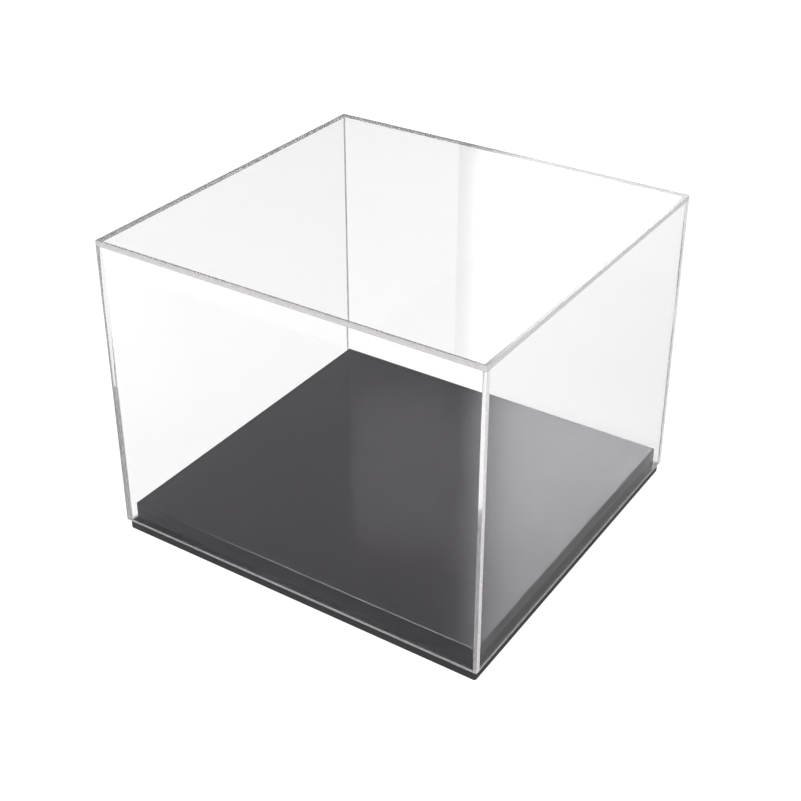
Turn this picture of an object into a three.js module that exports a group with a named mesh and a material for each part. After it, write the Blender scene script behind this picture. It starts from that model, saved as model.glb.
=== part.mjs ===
// Acrylic display cube: a five-panel clear cover that lifts off a black plinth base.
// Millimetres, +Z up. +X is to the right, +Y is towards the back.
// The origin is at the middle of the footprint, on the surface that the feet stand on.
import * as THREE from "three";
import { ConvexGeometry } from "three/addons/geometries/ConvexGeometry.js";

// ---- Driving dimensions ----------------------------------------------------------------
const COVER_WIDTH = 315; // outside, along X
const COVER_DEPTH = 300; // outside, along Y
const COVER_HEIGHT = 240; // outside, from the rim to the top face
const COVER_SHEET = 4; // thickness of the clear panels

const BASE_SHEET = 8; // thickness of the plate, the deck and the strips under the deck
const PLATE_INSET = 1.5; // from the cover's outer face to the plate's edge
const PLATE_ARRIS = 0.4; // chamfer that breaks the plate's edges
const PLATE_CORNER_RADIUS = 2;
const PLATE_CORNER_STEPS = 6;

const RISER_HEIGHT = 16; // from the plate to the top of the deck
const RISER_CLEARANCE = 3; // from the cover's inner face to the riser
const DECK_ARRIS = 0.5; // polished chamfer round the deck's top edges

const FOOT_RADIUS = 5;
const FOOT_HEIGHT = 1.5;
const FOOT_FACE_RADIUS = 3.6; // flat face that touches the table
const FOOT_SHOULDER_STEPS = 5;
const FOOT_SIDES = 32;
const FOOT_INSET = 22; // from the plate's edge to a foot's centre

// ---- Sizes that follow -----------------------------------------------------------------
const plateBottom = FOOT_HEIGHT;
const plateTop = plateBottom + BASE_SHEET;
const plateWidth = COVER_WIDTH - 2 * PLATE_INSET;
const plateDepth = COVER_DEPTH - 2 * PLATE_INSET;

const riserInset = COVER_SHEET + RISER_CLEARANCE;
const riserWidth = COVER_WIDTH - 2 * riserInset;
const riserDepth = COVER_DEPTH - 2 * riserInset;
const deckTop = plateTop + RISER_HEIGHT;
const deckBottom = deckTop - BASE_SHEET;

const coverBottom = plateTop;
const wallTop = coverBottom + COVER_HEIGHT - COVER_SHEET;

// ---- Materials -------------------------------------------------------------------------
function clearAcrylic() {
  return new THREE.MeshStandardMaterial({
    color: 0xf4f8f9,
    roughness: 0.03,
    metalness: 0,
    transparent: true,
    opacity: 0.25,
  });
}

function blackAcrylic() {
  return new THREE.MeshStandardMaterial({ color: 0x0c0c0d, roughness: 0.06, metalness: 0 });
}

function blackRubber() {
  return new THREE.MeshStandardMaterial({ color: 0x151515, roughness: 0.75, metalness: 0 });
}

// ---- Shapes ----------------------------------------------------------------------------
// A square-edged sheet. Its corner with the lowest x, y and z is at (0, 0, 0).
function squareSheet(width, depth, height) {
  return new THREE.BoxGeometry(width, depth, height).translate(width / 2, depth / 2, height / 2);
}

// A sheet lying flat, centred on the Z axis, with round corners and a chamfer round both faces.
function roundedSheet(width, depth, thickness, radius, chamfer) {
  const x = width / 2 - radius;
  const y = depth / 2 - radius;
  const outline = new THREE.Shape();
  [
    [x, -y],
    [x, y],
    [-x, y],
    [-x, -y],
  ].forEach(([centreX, centreY], corner) => {
    const start = (corner - 1) * (Math.PI / 2);
    outline.absarc(centreX, centreY, radius, start, start + Math.PI / 2, false);
  });
  outline.closePath();
  const sheet = new THREE.ExtrudeGeometry(outline, {
    depth: thickness - 2 * chamfer,
    curveSegments: PLATE_CORNER_STEPS,
    bevelEnabled: true,
    bevelThickness: chamfer,
    bevelSize: chamfer,
    bevelOffset: -chamfer,
    bevelSegments: 1,
  });
  return sheet.translate(0, 0, chamfer);
}

// A sheet lying flat, centred on the Z axis, with square corners and a chamfer round its top.
function deckSheet(width, depth, thickness, chamfer) {
  const points = [];
  for (const [z, inset] of [
    [0, 0],
    [thickness - chamfer, 0],
    [thickness, chamfer],
  ]) {
    for (const x of [inset - width / 2, width / 2 - inset]) {
      for (const y of [inset - depth / 2, depth / 2 - inset]) {
        points.push(new THREE.Vector3(x, y, z));
      }
    }
  }
  return new ConvexGeometry(points);
}

// A low domed bumper: a flat face at the bottom, a rounded shoulder, and a flat top.
function bumper() {
  const shoulder = FOOT_RADIUS - FOOT_FACE_RADIUS;
  const profile = [new THREE.Vector2(0, 0)];
  for (let i = 0; i <= FOOT_SHOULDER_STEPS; i++) {
    const turn = (i / FOOT_SHOULDER_STEPS) * (Math.PI / 2);
    const radius = FOOT_FACE_RADIUS + shoulder * Math.sin(turn);
    const height = FOOT_HEIGHT * (1 - Math.cos(turn));
    profile.push(new THREE.Vector2(radius, height));
  }
  profile.push(new THREE.Vector2(0, FOOT_HEIGHT));
  // A lathe turns about Y, so it is stood up along Z.
  return new THREE.LatheGeometry(profile, FOOT_SIDES).rotateX(Math.PI / 2);
}

function piece(name, geometry, material, x = 0, y = 0, z = 0) {
  const mesh = new THREE.Mesh(geometry, material);
  mesh.name = name;
  mesh.position.set(x, y, z);
  return mesh;
}

// ---- Cover: front and back run the full width, the sides stand between them, the top lies
//      over all four --------------------------------------------------------------------
function buildCover() {
  const cover = new THREE.Group();
  const wallHeight = wallTop - coverBottom;
  const sideDepth = COVER_DEPTH - 2 * COVER_SHEET;
  const left = -COVER_WIDTH / 2;
  const front = -COVER_DEPTH / 2;

  for (const [name, y] of [
    ["cover_front_panel", front],
    ["cover_back_panel", -front - COVER_SHEET],
  ]) {
    const wall = squareSheet(COVER_WIDTH, COVER_SHEET, wallHeight);
    cover.add(piece(name, wall, clearAcrylic(), left, y, coverBottom));
  }
  for (const [name, x] of [
    ["cover_left_panel", left],
    ["cover_right_panel", -left - COVER_SHEET],
  ]) {
    const wall = squareSheet(COVER_SHEET, sideDepth, wallHeight);
    cover.add(piece(name, wall, clearAcrylic(), x, front + COVER_SHEET, coverBottom));
  }
  const top = squareSheet(COVER_WIDTH, COVER_DEPTH, COVER_SHEET);
  cover.add(piece("cover_top_panel", top, clearAcrylic(), left, front, wallTop));
  return cover;
}

// ---- Base: a plate that carries the rim, and a hollow riser that centres the cover -------
function buildBase() {
  const base = new THREE.Group();
  const plate = roundedSheet(
    plateWidth,
    plateDepth,
    BASE_SHEET,
    PLATE_CORNER_RADIUS,
    PLATE_ARRIS,
  );
  base.add(piece("base_plate", plate, blackAcrylic(), 0, 0, plateBottom));

  const deck = deckSheet(riserWidth, riserDepth, BASE_SHEET, DECK_ARRIS);
  base.add(piece("riser_deck", deck, blackAcrylic(), 0, 0, deckBottom));

  const stripHeight = deckBottom - plateTop;
  const sideLength = riserDepth - 2 * BASE_SHEET;
  const left = -riserWidth / 2;
  const front = -riserDepth / 2;
  for (const [name, y] of [
    ["riser_front_strip", front],
    ["riser_back_strip", -front - BASE_SHEET],
  ]) {
    const strip = squareSheet(riserWidth, BASE_SHEET, stripHeight);
    base.add(piece(name, strip, blackAcrylic(), left, y, plateTop));
  }
  for (const [name, x] of [
    ["riser_left_strip", left],
    ["riser_right_strip", -left - BASE_SHEET],
  ]) {
    const strip = squareSheet(BASE_SHEET, sideLength, stripHeight);
    base.add(piece(name, strip, blackAcrylic(), x, front + BASE_SHEET, plateTop));
  }
  return base;
}

// ---- Feet: one bumper under each corner of the plate -------------------------------------
function buildFeet() {
  const feet = new THREE.Group();
  const reachX = plateWidth / 2 - FOOT_INSET;
  const reachY = plateDepth / 2 - FOOT_INSET;
  for (const [row, y] of [
    ["front", -reachY],
    ["back", reachY],
  ]) {
    for (const [side, x] of [
      ["left", -reachX],
      ["right", reachX],
    ]) {
      feet.add(piece(`foot_${row}_${side}`, bumper(), blackRubber(), x, y, 0));
    }
  }
  return feet;
}

const displayCube = new THREE.Group();
displayCube.add(buildCover(), buildBase(), buildFeet());

export default displayCube;
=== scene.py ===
"""Looks of the acrylic display cube: a clear cover that lifts off a black plinth base."""
import logging
import math
from dataclasses import dataclass
from enum import Enum
from typing import Iterable, Mapping, Sequence, Union

import bmesh
import bpy
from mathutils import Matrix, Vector


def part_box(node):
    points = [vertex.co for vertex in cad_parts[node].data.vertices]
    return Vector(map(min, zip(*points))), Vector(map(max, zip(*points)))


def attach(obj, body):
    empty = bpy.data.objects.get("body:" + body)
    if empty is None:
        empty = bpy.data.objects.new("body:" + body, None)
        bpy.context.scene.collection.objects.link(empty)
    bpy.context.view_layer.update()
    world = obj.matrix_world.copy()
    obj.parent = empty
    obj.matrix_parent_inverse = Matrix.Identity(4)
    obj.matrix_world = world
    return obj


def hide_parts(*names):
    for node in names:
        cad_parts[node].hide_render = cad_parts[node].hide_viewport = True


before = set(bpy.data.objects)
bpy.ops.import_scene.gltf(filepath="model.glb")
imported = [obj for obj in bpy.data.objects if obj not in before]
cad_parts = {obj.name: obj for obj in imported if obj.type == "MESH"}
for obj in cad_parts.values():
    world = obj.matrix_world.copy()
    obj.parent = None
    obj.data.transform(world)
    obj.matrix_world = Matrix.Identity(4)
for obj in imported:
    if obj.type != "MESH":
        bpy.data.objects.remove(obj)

LOG = logging.getLogger("display_cube")
MM = 0.001
MM_PER_METRE = 1000.0
ACRYLIC_IOR = 1.49

Point = tuple[float, float, float]
Colour = tuple[float, float, float, float]
Socket = bpy.types.NodeSocket
Feed = Union[Socket, float]


class Body(Enum):
    """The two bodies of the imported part."""

    BASE = "base"
    COVER = "cover"


class Slot(Enum):
    """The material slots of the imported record."""

    CLEAR = "clear_acrylic"
    BLACK = "black_acrylic"
    RUBBER = "foot_rubber"


class CoverFace(Enum):
    """The kinds of face of the cover's shell. The values are material indices."""

    SHEET = 0
    WALL_END = 1
    RIM = 2
    TOP_BAND = 3
    CEMENT = 4


class PlateFace(Enum):
    """The kinds of face of the base plate. The values are material indices."""

    FLAT = 0
    SIDE = 1


# ---- Node trees --------------------------------------------------------------------------
@dataclass(frozen=True)
class Patches:
    """A noise that turns from 0 to 1 between two of its values. Its scale is per metre."""

    scale: float
    detail: float
    low: float
    high: float


class Graph:
    """Adds nodes to one node tree and links them."""

    NODE_WIDTH, ROW_HEIGHT, ROWS = 180, 120, 4
    # Sockets of a Mix node for colours, which has others of the same names.
    MIX_FACTOR, MIX_A, MIX_B, MIX_RESULT = 0, 6, 7, 2

    def __init__(self, tree: bpy.types.NodeTree) -> None:
        """Starts on a tree, and empties it.

        Args:
            tree: the tree of a material, a world or a group.
        """
        self.tree = tree
        self.tree.nodes.clear()
        self.column = 0

    def add(self, kind: str, **settings: object) -> bpy.types.Node:
        """Adds a node.

        Args:
            kind: the node's type, such as "ShaderNodeMath".
            settings: properties of the node to set.

        Returns:
            The new node.
        """
        node = self.tree.nodes.new(kind)
        row = self.column % self.ROWS
        node.location = (self.NODE_WIDTH * self.column, -self.ROW_HEIGHT * row)
        self.column += 1
        for name, value in settings.items():
            setattr(node, name, value)
        return node

    def put(self, socket: Socket, value: Union[Feed, Sequence[float]]) -> None:
        """Links an output to an input, or sets the input to a plain value.

        Args:
            socket: the input.
            value: an output of another node, or a value.
        """
        if isinstance(value, bpy.types.NodeSocket):
            self.tree.links.new(value, socket)
        else:
            socket.default_value = value

    def maths(self, operation: str, *values: Feed, clamp: bool = False) -> Socket:
        """Adds a Math node.

        Args:
            operation: what it does.
            values: up to three numbers or outputs.
            clamp: holds the result between 0 and 1.

        Returns:
            The node's output.
        """
        node = self.add("ShaderNodeMath", operation=operation, use_clamp=clamp)
        for socket, value in zip(node.inputs, values):
            self.put(socket, value)
        return node.outputs[0]

    def here(self) -> Socket:
        """Adds a Texture Coordinate node, and returns the place on the object."""
        return self.add("ShaderNodeTexCoord").outputs["Object"]

    def noise(self, place: Feed, scale: float, detail: float = 2.0) -> Socket:
        """Adds a Noise node.

        Args:
            place: where the noise is read.
            scale: its scale per metre.
            detail: its detail.

        Returns:
            The output that holds its number.
        """
        node = self.add("ShaderNodeTexNoise")
        self.put(node.inputs["Vector"], place)
        self.put(node.inputs["Scale"], scale)
        self.put(node.inputs["Detail"], detail)
        return node.outputs["Fac"]

    def ramp(self, value: Feed, low: float, high: float, start: float = 0.0, end: float = 1.0,
             smooth: bool = True) -> Socket:
        """Adds a Map Range node.

        Args:
            value: what is mapped.
            low: the value at which the result is start.
            high: the value at which the result is end.
            start: the first result.
            end: the last result.
            smooth: a smooth step instead of a straight one.

        Returns:
            The node's output.
        """
        node = self.add("ShaderNodeMapRange")
        node.interpolation_type = "SMOOTHSTEP" if smooth else "LINEAR"
        self.put(node.inputs["Value"], value)
        numbers = {"From Min": low, "From Max": high, "To Min": start, "To Max": end}
        for name, number in numbers.items():
            self.put(node.inputs[name], number)
        return node.outputs["Result"]

    def patches(self, place: Feed, of: Patches, start: float = 0.0, end: float = 1.0) -> Socket:
        """Adds a noise and the ramp that turns it into patches.

        Args:
            place: where the noise is read.
            of: the pattern.
            start: the number outside a patch.
            end: the number inside a patch.

        Returns:
            The ramp's output.
        """
        return self.ramp(self.noise(place, of.scale, of.detail), of.low, of.high, start, end)

    def mix_colour(self, factor: Feed, a: Union[Feed, Colour], b: Union[Feed, Colour]) -> Socket:
        """Adds a colour Mix node.

        Args:
            factor: how far the result is from a to b.
            a: the colour at 0.
            b: the colour at 1.

        Returns:
            The node's output.
        """
        node = self.add("ShaderNodeMix", data_type="RGBA")
        self.put(node.inputs[self.MIX_FACTOR], factor)
        self.put(node.inputs[self.MIX_A], a)
        self.put(node.inputs[self.MIX_B], b)
        return node.outputs[self.MIX_RESULT]

    def group(self, tree: bpy.types.NodeTree, **values: Feed) -> bpy.types.Node:
        """Places a node group.

        Args:
            tree: the group.
            values: what each of its named inputs gets.

        Returns:
            The group's node.
        """
        node = self.add("ShaderNodeGroup", node_tree=tree)
        for name, value in values.items():
            self.put(node.inputs[name], value)
        return node

    def blend(self, factor: Feed, a: Socket, b: Socket) -> Socket:
        """Adds a Mix Shader node.

        Args:
            factor: how far the result is from a to b.
            a: the shader at 0.
            b: the shader at 1.

        Returns:
            The node's output.
        """
        node = self.add("ShaderNodeMixShader")
        for socket, value in zip(node.inputs, (factor, a, b)):
            self.put(socket, value)
        return node.outputs[0]

    def surface(self, shader: Socket) -> None:
        """Ends a material's tree with a shader."""
        self.put(self.add("ShaderNodeOutputMaterial").inputs["Surface"], shader)

    def principled(self, values: Mapping[str, Union[Feed, Colour]]) -> None:
        """Ends a material's tree with a Principled BSDF.

        Args:
            values: what each of its named inputs gets.
        """
        bsdf = self.add("ShaderNodeBsdfPrincipled")
        for name, value in values.items():
            self.put(bsdf.inputs[name], value)
        self.surface(bsdf.outputs[0])

    def depths(self) -> tuple[Socket, Socket]:
        """Adds a Light Path node.

        Returns:
            How often the ray was mirrored, and how often a matt surface sent it on.
        """
        path = self.add("ShaderNodeLightPath")
        return path.outputs["Glossy Depth"], path.outputs["Diffuse Depth"]


def open_group(name: str, inputs: Mapping[str, float], outputs: Sequence[str]) -> Graph:
    """Makes an empty shader node group.

    Args:
        name: the group's name.
        inputs: the name and usual value of each number that goes in.
        outputs: the name of each number that comes out.

    Returns:
        A graph on the new group.
    """
    tree = bpy.data.node_groups.new(name, "ShaderNodeTree")
    kind = "NodeSocketFloat"
    for label, value in inputs.items():
        socket = tree.interface.new_socket(name=label, in_out="INPUT", socket_type=kind)
        socket.default_value = value
    for label in outputs:
        tree.interface.new_socket(name=label, in_out="OUTPUT", socket_type=kind)
    return Graph(tree)


def open_material(name: str) -> tuple[bpy.types.Material, Graph]:
    """Makes a material with an empty tree.

    Args:
        name: the material's name.

    Returns:
        The material, and a graph on its tree.
    """
    made = bpy.data.materials.new(name)
    made.use_nodes = True
    return made, Graph(made.node_tree)


# ---- Effects that the finishes share -------------------------------------------------------
class Effects:
    """The shader node groups that more than one finish uses, each built once."""

    DRIFTS = Patches(14.0, 3.0, 0.36, 0.68)
    SPECK_SIZES = (0.03, 0.085)
    BEND_SCALE, BEND_DETAIL = 5.0, 1.0
    SCRATCH_SHAPE: Point = (1.0, 0.035, 1.0)
    SCRATCH_WIDTH = 0.02
    GRAIN = Patches(1400.0, 2.0, 0.35, 0.65)
    CHIPS = Patches(420.0, 1.0, 0.58, 0.68)

    def __init__(self) -> None:
        """Builds the groups."""
        self.dust = self._dust()
        self.hairlines = self._hairlines()
        self.sawn = self._sawn()

    @classmethod
    def _dust(cls) -> bpy.types.NodeTree:
        """Settled dust: small specks of uneven size, thicker in loose drifts.

        Returns:
            The group. Its Specks output is 1 on a speck, and its Film output is the even film
            between them.
        """
        g = open_group("settled_dust", {"Spacing": 6.0, "Cover": 0.5}, ("Specks", "Film"))
        entry = g.add("NodeGroupInput")
        place = g.here()
        cells = g.add("ShaderNodeTexVoronoi", feature="F1", distance="EUCLIDEAN")
        g.put(cells.inputs["Vector"], place)
        g.put(cells.inputs["Scale"], g.maths("DIVIDE", MM_PER_METRE, entry.outputs["Spacing"]))
        drifted = g.patches(place, cls.DRIFTS)
        hue = g.add("ShaderNodeSeparateColor")
        g.put(hue.inputs[0], cells.outputs["Color"])
        share = g.maths("MULTIPLY", entry.outputs["Cover"], drifted)
        chosen = g.maths("LESS_THAN", hue.outputs[0], share)
        size = g.ramp(hue.outputs[1], 0.0, 1.0, *cls.SPECK_SIZES, smooth=False)
        outwards = g.maths("DIVIDE", cells.outputs["Distance"], size)
        inside = g.maths("SUBTRACT", 1.0, outwards, clamp=True)
        leave = g.add("NodeGroupOutput")
        g.put(leave.inputs["Specks"], g.maths("MULTIPLY", chosen, inside, clamp=True))
        g.put(leave.inputs["Film"], drifted)
        return g.tree

    @classmethod
    def _hairlines(cls) -> bpy.types.NodeTree:
        """Fine scratches from dusting cloths, which run loosely one way.

        Returns:
            The group. Its Lines output is 1 in a scratch.
        """
        usual = {"Turn": 0.0, "Spacing": 9.0, "Cover": 0.5}
        g = open_group("cloth_hairlines", usual, ("Lines",))
        entry = g.add("NodeGroupInput")
        place = g.here()
        bend = g.noise(place, cls.BEND_SCALE, cls.BEND_DETAIL)
        turned = g.add("ShaderNodeVectorRotate", rotation_type="Z_AXIS")
        g.put(turned.inputs["Vector"], place)
        g.put(turned.inputs["Angle"], g.maths("ADD", entry.outputs["Turn"], bend))
        stretched = g.add("ShaderNodeMapping")
        g.put(stretched.inputs["Vector"], turned.outputs["Vector"])
        g.put(stretched.inputs["Scale"], cls.SCRATCH_SHAPE)
        cells = g.add("ShaderNodeTexVoronoi", feature="DISTANCE_TO_EDGE")
        g.put(cells.inputs["Vector"], stretched.outputs["Vector"])
        g.put(cells.inputs["Scale"], g.maths("DIVIDE", MM_PER_METRE, entry.outputs["Spacing"]))
        line = g.ramp(cells.outputs["Distance"], 0.0, cls.SCRATCH_WIDTH, 1.0, 0.0)
        leave = g.add("NodeGroupOutput")
        covered = g.maths("MULTIPLY", line, entry.outputs["Cover"], clamp=True)
        g.put(leave.inputs["Lines"], covered)
        return g.tree

    @classmethod
    def _sawn(cls) -> bpy.types.NodeTree:
        """The texture of a machined edge.

        Returns:
            The group. Its Grain output is a fine even grain, and its Chips output is 1 in a short
            dull dash.
        """
        g = open_group("sawn_edge", {"Contrast": 0.5}, ("Grain", "Chips"))
        entry = g.add("NodeGroupInput")
        place = g.here()
        found = {"Grain": g.patches(place, cls.GRAIN), "Chips": g.patches(place, cls.CHIPS)}
        leave = g.add("NodeGroupOutput")
        for name, mask in found.items():
            g.put(leave.inputs[name], g.maths("MULTIPLY", mask, entry.outputs["Contrast"]))
        return g.tree


@dataclass(frozen=True)
class Dust:
    """How dusty a finish is. The spacing of the specks is in millimetres."""

    spacing: float
    cover: float

    def place(self, g: Graph, effects: Effects) -> bpy.types.Node:
        """Places the settled_dust group in a material."""
        return g.group(effects.dust, Spacing=self.spacing, Cover=self.cover)


@dataclass(frozen=True)
class Hairlines:
    """How scratched a finish is. The turn is in radians, and the spacing in millimetres."""

    turn: float
    spacing: float
    cover: float
    roughness: float

    def place(self, g: Graph, effects: Effects, smooth: Feed) -> Socket:
        """Places the cloth_hairlines group in a material.

        Args:
            g: the graph on the material.
            effects: the shared groups.
            smooth: the roughness between the scratches.

        Returns:
            The roughness with the scratches in it.
        """
        lines = g.group(effects.hairlines, Turn=self.turn, Spacing=self.spacing, Cover=self.cover)
        return g.maths("MULTIPLY_ADD", lines.outputs["Lines"], self.roughness, smooth)


# ---- Finishes ------------------------------------------------------------------------------
@dataclass(frozen=True)
class BlackAcrylic:
    """Black cast acrylic sheet, polished, with the light haze and dust of an object on show."""

    name: str = "black_acrylic"
    colour: Colour = (0.0115, 0.0075, 0.0155, 1.0)
    dust_colour: Colour = (0.42, 0.42, 0.43, 1.0)
    gloss: float = 0.08
    hazed: float = 0.11
    haze: Patches = Patches(9.0, 2.0, 0.3, 0.7)
    dust: Dust = Dust(5.0, 0.22)
    speck_strength: float = 0.6
    film_strength: float = 0.006
    hairlines: Hairlines = Hairlines(0.5, 7.0, 0.5, 0.05)

    def material(self, effects: Effects) -> bpy.types.Material:
        """Makes the material.

        Args:
            effects: the shared groups.

        Returns:
            The material.
        """
        made, g = open_material(self.name)
        dust = self.dust.place(g, effects)
        specks = g.maths("MULTIPLY", dust.outputs["Specks"], self.speck_strength)
        dusted = g.maths("MULTIPLY_ADD", dust.outputs["Film"], self.film_strength, specks)
        haze = g.patches(g.here(), self.haze, self.gloss, self.hazed)
        g.principled({
            "Base Color": g.mix_colour(dusted, self.colour, self.dust_colour),
            "Roughness": self.hairlines.place(g, effects, haze),
            "IOR": ACRYLIC_IOR,
        })
        return made


@dataclass(frozen=True)
class ClearAcrylic:
    """Clear cast acrylic sheet, polished, with a few hairlines and specks."""

    name: str = "clear_acrylic"
    colour: Colour = (1.0, 1.0, 1.0, 1.0)
    dust: Dust = Dust(7.0, 0.12)
    speck_roughness: float = 0.2
    hairlines: Hairlines = Hairlines(0.9, 11.0, 0.4, 0.04)

    def material(self, effects: Effects) -> bpy.types.Material:
        """Makes the material.

        Args:
            effects: the shared groups.

        Returns:
            The material.
        """
        made, g = open_material(self.name)
        specks = self.dust.place(g, effects).outputs["Specks"]
        dulled = g.maths("MULTIPLY", specks, self.speck_roughness)
        g.principled({
            "Base Color": self.colour,
            "Roughness": self.hairlines.place(g, effects, dulled),
            "IOR": ACRYLIC_IOR,
            "Transmission Weight": 1.0,
        })
        return made


@dataclass(frozen=True)
class SawnAcrylic:
    """The machined edge of a clear sheet: pale, a little milky, with grain and dull dashes."""

    name: str
    colour: Colour = (0.97, 0.93, 0.95, 1.0)
    dull_colour: Colour = (0.80, 0.77, 0.78, 1.0)
    clearness: float = 0.15
    roughness: float = 0.25
    chip_roughness: float = 0.3
    contrast: float = 0.2

    def material(self, effects: Effects) -> bpy.types.Material:
        """Makes the material.

        Args:
            effects: the shared groups.

        Returns:
            The material.
        """
        made, g = open_material(self.name)
        sawn = g.group(effects.sawn, Contrast=self.contrast)
        grain, chips = sawn.outputs["Grain"], sawn.outputs["Chips"]
        dull = g.maths("MAXIMUM", grain, chips)
        g.principled({
            "Base Color": g.mix_colour(dull, self.colour, self.dull_colour),
            "Roughness": g.maths("MULTIPLY_ADD", chips, self.chip_roughness, self.roughness),
            "IOR": ACRYLIC_IOR,
            "Transmission Weight": self.clearness,
        })
        return made


@dataclass(frozen=True)
class Rubber:
    """Matt black rubber with a fine moulded grain."""

    name: str = "foot_rubber"
    colour: Colour = (0.016, 0.016, 0.016, 1.0)
    dust_colour: Colour = (0.20, 0.20, 0.19, 1.0)
    dust: Dust = Dust(1.2, 0.3)
    speck_strength: float = 0.4
    roughness: float = 0.72
    grain_scale: float = 3500.0
    grain_height: float = 0.05 * MM
    grain_strength: float = 0.3

    def material(self, effects: Effects) -> bpy.types.Material:
        """Makes the material.

        Args:
            effects: the shared groups.

        Returns:
            The material.
        """
        made, g = open_material(self.name)
        specks = self.dust.place(g, effects).outputs["Specks"]
        dusted = g.maths("MULTIPLY", specks, self.speck_strength)
        bump = g.add("ShaderNodeBump")
        g.put(bump.inputs["Strength"], self.grain_strength)
        g.put(bump.inputs["Distance"], self.grain_height)
        g.put(bump.inputs["Height"], g.noise(g.here(), self.grain_scale))
        g.principled({
            "Base Color": g.mix_colour(dusted, self.colour, self.dust_colour),
            "Roughness": self.roughness,
            "Normal": bump.outputs["Normal"],
        })
        return made


# ---- Sub-assemblies ------------------------------------------------------------------------
def show(name: str, data: bpy.types.ID) -> bpy.types.Object:
    """Puts a new object in the scene, at the origin and unturned.

    Args:
        name: the object's name.
        data: its mesh or camera.

    Returns:
        The object.
    """
    made = bpy.data.objects.new(name, data)
    bpy.context.scene.collection.objects.link(made)
    return made


def place_piece(name: str, mesh: bpy.types.Mesh, finishes: Iterable[bpy.types.Material],
                body: Body, stands_for: Iterable[str]) -> None:
    """Puts a finished mesh in the scene as a piece of the object.

    Args:
        name: the piece's name.
        mesh: its mesh, in place in the part's frame.
        finishes: its materials, in the order of its material indices.
        body: the body that it moves with.
        stands_for: the CAD nodes that it replaces.
    """
    for finish in finishes:
        mesh.materials.append(finish)
    piece = show(name, mesh)
    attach(piece, body.value)
    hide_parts(*stands_for)
    LOG.info("%s: %d faces, rides on %s", name, len(mesh.polygons), body.value)


def mesh_of(name: str, bm: bmesh.types.BMesh) -> bpy.types.Mesh:
    """Turns a bmesh into a mesh, and frees it.

    Args:
        name: the mesh's name.
        bm: the bmesh.

    Returns:
        The mesh.
    """
    mesh = bpy.data.meshes.new(name)
    bm.to_mesh(mesh)
    bm.free()
    return mesh


def flat_mesh(name: str, width: float, height: float) -> bpy.types.Mesh:
    """Makes a flat rectangle with its middle at the origin.

    Args:
        name: the mesh's name.
        width: its size along X.
        height: its size along Y.

    Returns:
        The mesh.
    """
    x, y = width / 2, height / 2
    mesh = bpy.data.meshes.new(name)
    mesh.from_pydata([(-x, -y, 0), (x, -y, 0), (x, y, 0), (-x, y, 0)], [], [(0, 1, 2, 3)])
    return mesh


def dress(name: str, finish: bpy.types.Material) -> None:
    """Gives a CAD node its material.

    Args:
        name: the node's name.
        finish: the material.
    """
    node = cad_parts[name]
    node.data.materials.clear()
    node.data.materials.append(finish)
    LOG.info("%s: dressed in %s", name, finish.name)


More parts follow.
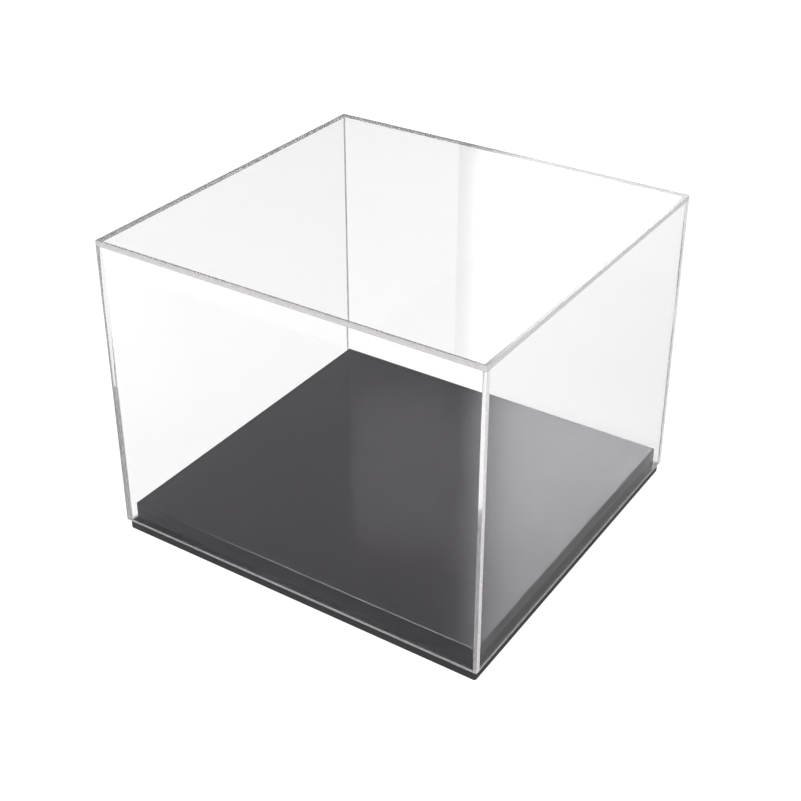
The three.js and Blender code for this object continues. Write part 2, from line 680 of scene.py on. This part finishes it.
@dataclass
class Cover:
    """The clear cover: five sheets cemented into one shell, open below."""

    sheet: float = 4 * MM
    seat_gap: float = 0.1 * MM
    cement_line: float = 0.3 * MM
    panels: tuple[str, ...] = ("cover_top_panel", "cover_front_panel", "cover_back_panel",
                               "cover_left_panel", "cover_right_panel")

    def _box(self) -> tuple[Vector, Vector]:
        """Measures the cover.

        Returns:
            Its lowest and its highest corner.
        """
        boxes = [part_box(name) for name in self.panels]
        low = Vector(min(b[0][i] for b in boxes) for i in range(3))
        high = Vector(max(b[1][i] for b in boxes) for i in range(3))
        return low, high

    def shell(self) -> bpy.types.Mesh:
        """Builds the shell.

        The front and back sheets run the full width and the top sheet lies over all four walls,
        so their sawn edges show as strips on the outside. Those, the rim and the cement line
        under the top sheet's edge take materials of their own.

        Returns:
            A closed mesh, with its kinds of face as material indices.
        """
        low, high = self._box()
        t = self.sheet
        x0, x1, y0, y1 = low.x, high.x, low.y, high.y
        foot, shelf, top = low.z + self.seat_gap, high.z - t, high.z
        seam = shelf + self.cement_line
        bm = bmesh.new()
        corners: dict[Point, bmesh.types.BMVert] = {}

        def face(points: Sequence[Point], kind: CoverFace = CoverFace.SHEET) -> None:
            """Adds a face.

            Args:
                points: its corners, counter-clockwise seen from outside the acrylic.
                kind: the kind of face.
            """
            for p in points:
                if p not in corners:
                    corners[p] = bm.verts.new(p)
            bm.faces.new([corners[p] for p in points]).material_index = kind.value

        strips = (CoverFace.WALL_END, CoverFace.SHEET, CoverFace.WALL_END)
        for x, turn in ((x1, 1), (x0, -1)):
            ys = [y0, y0 + t, y1 - t, y1][::turn]
            first, last = ys[0], ys[3]
            for kind, a, b in zip(strips, ys, ys[1:]):
                face([(x, a, foot), (x, b, foot), (x, b, shelf), (x, a, shelf)], kind)
            face([(x, y, shelf) for y in ys] + [(x, last, seam), (x, first, seam)],
                 CoverFace.CEMENT)
            face([(x, first, seam), (x, last, seam), (x, last, top), (x, first, top)],
                 CoverFace.TOP_BAND)
            xi, a, b = x - turn * t, ys[1], ys[2]
            face([(x, y, foot) for y in ys[::-1]] + [(xi, a, foot), (xi, b, foot)], CoverFace.RIM)
            face([(xi, b, foot), (xi, a, foot), (xi, a, shelf), (xi, b, shelf)])
        for y, turn in ((y0, 1), (y1, -1)):
            a, b = (x0, x1)[::turn]
            face([(a, y, foot), (b, y, foot), (b, y, shelf), (a, y, shelf)])
            face([(a, y, shelf), (b, y, shelf), (b, y, seam), (a, y, seam)], CoverFace.CEMENT)
            face([(a, y, seam), (b, y, seam), (b, y, top), (a, y, top)], CoverFace.TOP_BAND)
            yi, ai, bi = y + turn * t, a + turn * t, b - turn * t
            face([(b, y, foot), (a, y, foot), (ai, yi, foot), (bi, yi, foot)], CoverFace.RIM)
            face([(bi, yi, foot), (ai, yi, foot), (ai, yi, shelf), (bi, yi, shelf)])
        face([(x0, y0, top), (x1, y0, top), (x1, y1, top), (x0, y1, top)])
        face([(x0 + t, y1 - t, shelf), (x1 - t, y1 - t, shelf),
              (x1 - t, y0 + t, shelf), (x0 + t, y0 + t, shelf)])
        return mesh_of("cover_shell", bm)

    def build(self, finishes: Mapping[CoverFace, bpy.types.Material]) -> None:
        """Builds and places the cover.

        Args:
            finishes: the material of each kind of face.
        """
        place_piece("cover_shell", self.shell(), [finishes[kind] for kind in CoverFace],
                    Body.COVER, self.panels)


@dataclass
class Base:
    """The black base: a plate under the cover's rim and a riser that centres the cover."""

    corner_radius: float = 2 * MM
    corner_steps: int = 8
    arris: float = 0.5 * MM
    plate_arris_steps: int = 3
    deck_arris_steps: int = 1
    side_slope: float = 0.1
    strips: tuple[str, ...] = ("riser_front_strip", "riser_back_strip",
                               "riser_left_strip", "riser_right_strip")

    @staticmethod
    def _block(node: str) -> bmesh.types.BMesh:
        """Starts a sheet as the plain box round a CAD node.

        Args:
            node: the node's name.

        Returns:
            The sheet.
        """
        low, high = (Vector(p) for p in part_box(node))
        bm = bmesh.new()
        made = bmesh.ops.create_cube(bm, size=1.0)["verts"]
        bmesh.ops.scale(bm, vec=high - low, verts=made)
        bmesh.ops.translate(bm, vec=(low + high) / 2, verts=made)
        return bm

    @staticmethod
    def _round(bm: bmesh.types.BMesh, edges: list[bmesh.types.BMEdge], radius: float,
               steps: int) -> None:
        """Rounds some edges of a sheet, or chamfers them where there is one step."""
        bmesh.ops.bevel(bm, geom=edges, offset=radius, segments=steps, profile=0.5,
                        affect="EDGES")

    def plate(self) -> bpy.types.Mesh:
        """Builds the plate, with round corners and every arris broken.

        Returns:
            The mesh, with its kinds of face as material indices.
        """
        bm = self._block("base_plate")
        upright = [e for e in bm.edges if abs(e.verts[0].co.z - e.verts[1].co.z) > MM]
        self._round(bm, upright, self.corner_radius, self.corner_steps)
        rim = [e for e in bm.edges if abs(e.verts[0].co.z - e.verts[1].co.z) < self.arris]
        self._round(bm, rim, self.arris, self.plate_arris_steps)
        bm.normal_update()
        # The side faces take the paler edge finish, which is partly a painted reflection of the
        # floor.
        for face in bm.faces:
            side = abs(face.normal.z) < self.side_slope
            face.material_index = (PlateFace.SIDE if side else PlateFace.FLAT).value
        return mesh_of("plinth_plate", bm)

    def deck(self) -> bpy.types.Mesh:
        """Builds the riser's top sheet, with the arris round its top broken.

        Returns:
            The mesh.
        """
        bm = self._block("riser_deck")
        top = max(v.co.z for v in bm.verts)
        upper = [e for e in bm.edges if min(v.co.z for v in e.verts) > top - MM]
        self._round(bm, upper, self.arris, self.deck_arris_steps)
        return mesh_of("plinth_deck", bm)

    def build(self, finishes: Mapping[PlateFace, bpy.types.Material]) -> None:
        """Builds and places the plate and the deck, and dresses the riser's strips.

        Args:
            finishes: the material of each kind of face. The deck and the strips take the flat one.
        """
        flat = finishes[PlateFace.FLAT]
        place_piece("plinth_plate", self.plate(), [finishes[kind] for kind in PlateFace],
                    Body.BASE, ("base_plate",))
        place_piece("plinth_deck", self.deck(), [flat], Body.BASE, ("riser_deck",))
        for name in self.strips:
            dress(name, flat)


@dataclass
class Feet:
    """Four domed rubber bumpers stuck under the plate.

    A bumper's profile goes from the floor up, in shares of its radius and of its height.
    """

    around: int = 48
    name: str = "rubber_feet"
    nodes: tuple[str, ...] = ("foot_front_left", "foot_front_right",
                              "foot_back_left", "foot_back_right")
    profile: tuple[tuple[float, float], ...] = ((0.84, 0.0), (0.94, 0.10), (0.98, 0.30),
                                                (1.0, 0.55), (1.0, 0.97))

    def _bumper(self, radius: float, height: float) -> bpy.types.Mesh:
        """Turns one bumper about the Z axis.

        Args:
            radius: its radius.
            height: the height of its CAD node.

        Returns:
            A closed mesh that stands on the floor.
        """
        turns = [2 * math.pi * i / self.around for i in range(self.around)]
        bm = bmesh.new()
        rings = []
        for wide, high in self.profile:
            rings.append([bm.verts.new((radius * wide * math.cos(t), radius * wide * math.sin(t),
                                        height * high)) for t in turns])
        for low, high in zip(rings, rings[1:]):
            for i in range(self.around):
                j = (i + 1) % self.around
                bm.faces.new((low[i], low[j], high[j], high[i]))
        bm.faces.new(rings[0][::-1])
        bm.faces.new(rings[-1])
        return mesh_of(self.name, bm)

    @staticmethod
    def _pattern() -> bpy.types.NodeTree:
        """Builds the tree that sets one bumper at each corner of a rectangle.

        Returns:
            The Geometry Nodes tree.
        """
        tree = bpy.data.node_groups.new("feet_pattern", "GeometryNodeTree")
        for label, kind in (("Bumper", "NodeSocketGeometry"), ("Spread X", "NodeSocketFloat"),
                            ("Spread Y", "NodeSocketFloat"), ("Finish", "NodeSocketMaterial")):
            tree.interface.new_socket(name=label, in_out="INPUT", socket_type=kind)
        tree.interface.new_socket(name="Feet", in_out="OUTPUT", socket_type="NodeSocketGeometry")
        g = Graph(tree)
        entry = g.add("NodeGroupInput")
        corners = g.add("GeometryNodeMeshGrid")
        for axis in "XY":
            g.put(corners.inputs["Size " + axis], entry.outputs["Spread " + axis])
            g.put(corners.inputs["Vertices " + axis], 2)
        copies = g.add("GeometryNodeInstanceOnPoints")
        g.put(copies.inputs["Points"], corners.outputs["Mesh"])
        g.put(copies.inputs["Instance"], entry.outputs["Bumper"])
        real = g.add("GeometryNodeRealizeInstances")
        g.put(real.inputs[0], copies.outputs[0])
        paint = g.add("GeometryNodeSetMaterial")
        g.put(paint.inputs["Geometry"], real.outputs[0])
        g.put(paint.inputs["Material"], entry.outputs["Finish"])
        leave = g.add("NodeGroupOutput")
        g.put(leave.inputs["Feet"], paint.outputs[0])
        return tree

    def build(self, finish: bpy.types.Material) -> None:
        """Builds and places the four feet as one mesh.

        Args:
            finish: the material.
        """
        boxes = [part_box(name) for name in self.nodes]
        low, high = boxes[0]
        radius, height = (high[0] - low[0]) / 2, high[2] - low[2]
        middles = [[(lo[i] + hi[i]) / 2 for i in range(2)] for lo, hi in boxes]
        spread = [max(m[i] for m in middles) - min(m[i] for m in middles) for i in range(2)]
        holder = show("feet_holder", self._bumper(radius, height))
        modifier = holder.modifiers.new("feet", "NODES")
        modifier.node_group = self._pattern()
        values = {"Spread X": spread[0], "Spread Y": spread[1], "Finish": finish}
        for item in modifier.node_group.interface.items_tree:
            if item.in_out == "INPUT" and item.name in values:
                modifier[item.identifier] = values[item.name]
        seen = holder.evaluated_get(bpy.context.evaluated_depsgraph_get())
        mesh = bpy.data.meshes.new_from_object(seen)
        bpy.data.objects.remove(holder)
        mesh.name = self.name
        mesh.materials.clear()
        place_piece(self.name, mesh, [finish], Body.BASE, self.nodes)


# ---- Studio --------------------------------------------------------------------------------
@dataclass(frozen=True)
class Softbox:
    """A flat soft light whose diffuser dims towards its edges.

    Its brightness is what its face shows, where 1 is the white of the floor.
    """

    name: str
    at: Point
    aim: Point
    width: float
    height: float
    brightness: float
    soft_edge: float = 0.25
    tint: Colour = (1.0, 0.985, 1.03, 1.0)
    gloss_only: bool = False

    def _diffuser(self) -> bpy.types.Material:
        """Makes the glowing face.

        Returns:
            A material that shows only in what is glossy or matt.
        """
        made, g = open_material(self.name)
        place = g.add("ShaderNodeSeparateXYZ")
        g.put(place.inputs[0], g.here())
        strength: Feed = self.brightness
        for axis, size in (("X", self.width), ("Y", self.height)):
            off_centre = g.maths("ABSOLUTE", place.outputs[axis])
            fade = g.ramp(off_centre, size / 2 - self.soft_edge, size / 2, 1.0, 0.0)
            strength = g.maths("MULTIPLY", strength, fade)
        mirrored, matt = g.depths()
        if self.gloss_only:
            spared = g.maths("SUBTRACT", 1.0, matt, clamp=True)
            strength = g.maths("MULTIPLY", strength, spared)
        glow = g.add("ShaderNodeEmission")
        g.put(glow.inputs["Color"], self.tint)
        g.put(glow.inputs["Strength"], strength)
        clear = g.add("ShaderNodeBsdfTransparent").outputs[0]
        sent_on = g.maths("MINIMUM", g.maths("ADD", mirrored, matt), 1.0)
        g.surface(g.blend(sent_on, clear, glow.outputs[0]))
        return made

    def hang(self) -> None:
        """Puts the light in the scene. It doesn't show straight or through clear sheets."""
        mesh = flat_mesh(self.name, self.width, self.height)
        mesh.materials.append(self._diffuser())
        stand = show(self.name, mesh)
        stand.location = self.at
        way = Vector(self.aim) - Vector(self.at)
        stand.rotation_euler = way.to_track_quat("Z", "Y").to_euler()
        stand.visible_camera = False


@dataclass
class Studio:
    """The floor, the light around it and the camera. Angles are in degrees."""

    floor_size: float = 12.0
    floor_albedo: float = 0.32
    white: float = 1.275
    whitened: float = 0.88
    guided_white: float = 0.75
    room: float = 0.45
    fill: float = 1.4
    horizon: float = 0.60
    horizon_start: float = 2.0
    horizon_end: float = 12.0
    softboxes: tuple[Softbox, ...] = (
        Softbox("back_softbox", at=(-0.155, 1.25, 1.205), aim=(-0.155, 0.0, 1.205),
                width=1.08, height=1.09, brightness=5.8, soft_edge=0.17),
        Softbox("top_softbox", at=(-0.3, 0.3, 1.6), aim=(-0.3, 0.3, 0.0),
                width=1.8, height=1.6, brightness=1.0),
        Softbox("left_softbox", at=(-1.4, -0.3, 0.8), aim=(0.0, -0.3, 0.8),
                width=1.6, height=1.0, brightness=3.0),
        Softbox("front_softbox", at=(-0.70, -1.27, 1.20), aim=(0.0, -0.15, 0.03),
                width=0.90, height=0.46, brightness=8.0, soft_edge=0.12, gloss_only=True),
        Softbox("side_softbox", at=(1.45, 0.85, 0.80), aim=(0.15, 0.0, 0.03),
                width=1.2, height=0.8, brightness=4.0, soft_edge=0.20, gloss_only=True),
    )
    camera_at: Point = (0.5032, -0.7709, 0.6686)
    azimuth: float = 33.218
    elevation: float = 29.035
    focal: float = 62.92
    sensor: float = 36.0
    shift: float = -0.0899
    nearest: float = 0.01
    bounces: int = 96
    matt_bounces: int = 16

    def _first_look(self, g: Graph) -> Socket:
        """How far a ray sees the white of the backdrop rather than the lit studio.

        It is 1 for a straight look, through clear sheets or past them, and 0 for what one mirror
        or a matt surface sends back. Light that runs inside a sheet, from face to face, sees most
        of the white.

        Args:
            g: the graph that asks.

        Returns:
            An output from 0 to 1.
        """
        mirrored, matt = g.depths()
        straight = g.maths("SUBTRACT", 1.0, mirrored, clamp=True)
        guided = g.maths("SUBTRACT", mirrored, 1.0, clamp=True)
        seen = g.maths("MULTIPLY_ADD", guided, self.guided_white, straight)
        return g.maths("MULTIPLY", seen, g.maths("SUBTRACT", 1.0, matt, clamp=True))

    def floor(self) -> None:
        """Lays the floor."""
        paint, g = open_material("studio_floor")
        matt = g.add("ShaderNodeBsdfDiffuse")
        g.put(matt.inputs["Color"], (*[self.floor_albedo] * 3, 1))
        glow = g.add("ShaderNodeEmission")
        g.put(glow.inputs["Strength"], self.white)
        share = g.maths("MULTIPLY", self._first_look(g), self.whitened)
        g.surface(g.blend(share, matt.outputs[0], glow.outputs[0]))
        mesh = flat_mesh("studio_floor", self.floor_size, self.floor_size)
        mesh.materials.append(paint)
        show("studio_floor", mesh)

    def surround(self) -> None:
        """Surrounds the floor with a pale room, brighter near the horizon."""
        world = bpy.data.worlds.new("studio")
        bpy.context.scene.world = world
        world.use_nodes = True
        g = Graph(world.node_tree)
        way = g.add("ShaderNodeSeparateXYZ")
        g.put(way.inputs[0], g.add("ShaderNodeTexCoord").outputs["Generated"])
        rise = g.maths("ARCSINE", way.outputs["Z"])
        start, end = math.radians(self.horizon_start), math.radians(self.horizon_end)
        around = g.ramp(rise, start, end, self.horizon, self.room)
        first = self._first_look(g)
        matt = g.maths("MINIMUM", g.depths()[1], 1.0)
        lit = g.maths("MULTIPLY_ADD", matt, self.fill, around)
        kept = g.maths("MULTIPLY", lit, g.maths("SUBTRACT", 1.0, first))
        sky = g.add("ShaderNodeBackground")
        g.put(sky.inputs["Strength"], g.maths("MULTIPLY_ADD", first, self.white, kept))
        g.put(g.add("ShaderNodeOutputWorld").inputs["Surface"], sky.outputs[0])

    def camera(self) -> None:
        """Sets up the camera."""
        lens = bpy.data.cameras.new("camera")
        lens.sensor_width = self.sensor
        lens.lens = self.focal
        lens.shift_y = self.shift
        lens.clip_start = self.nearest
        stand = show("camera", lens)
        stand.location = self.camera_at
        az, el = math.radians(self.azimuth), math.radians(self.elevation)
        look = Vector((-math.sin(az) * math.cos(el), math.cos(az) * math.cos(el), -math.sin(el)))
        stand.rotation_euler = look.to_track_quat("-Z", "Y").to_euler()
        bpy.context.scene.camera = stand

    def build(self) -> None:
        """Builds the studio."""
        self.floor()
        self.surround()
        for softbox in self.softboxes:
            softbox.hang()
        self.camera()
        scene = bpy.context.scene
        scene.view_settings.view_transform = "Standard"
        scene.cycles.max_bounces = self.bounces
        scene.cycles.transmission_bounces = self.bounces
        scene.cycles.glossy_bounces = self.bounces
        scene.cycles.diffuse_bounces = self.matt_bounces


def main() -> None:
    """Builds the object and its studio."""
    logging.basicConfig(level=logging.INFO, format="%(name)s: %(message)s")
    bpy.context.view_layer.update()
    effects = Effects()
    clear = {
        CoverFace.SHEET: ClearAcrylic(),
        CoverFace.WALL_END: SawnAcrylic("clear_acrylic_edge"),
        CoverFace.RIM: SawnAcrylic("clear_acrylic_rim", (0.99, 0.97, 0.98, 1.0),
                                   clearness=0.0, roughness=0.5),
        CoverFace.TOP_BAND: SawnAcrylic("clear_acrylic_top_edge", (0.80, 0.775, 0.785, 1.0),
                                        (0.60, 0.58, 0.59, 1.0), contrast=0.5),
        CoverFace.CEMENT: SawnAcrylic("cement_line", (0.55, 0.53, 0.54, 1.0),
                                      (0.42, 0.41, 0.42, 1.0)),
    }
    black = {
        PlateFace.FLAT: BlackAcrylic(),
        # The plate's sides: a paler, more matt black for a machined edge, and partly a painted
        # reflection of the bright floor.
        PlateFace.SIDE: BlackAcrylic("black_acrylic_edge_painted_reflection", (0.040, 0.038, 0.043, 1.0),
                                     gloss=0.30, hazed=0.36),
    }
    Cover().build({kind: finish.material(effects) for kind, finish in clear.items()})
    Base().build({kind: finish.material(effects) for kind, finish in black.items()})
    Feet().build(Rubber().material(effects))
    Studio().build()


if __name__ == "__main__":
    main()
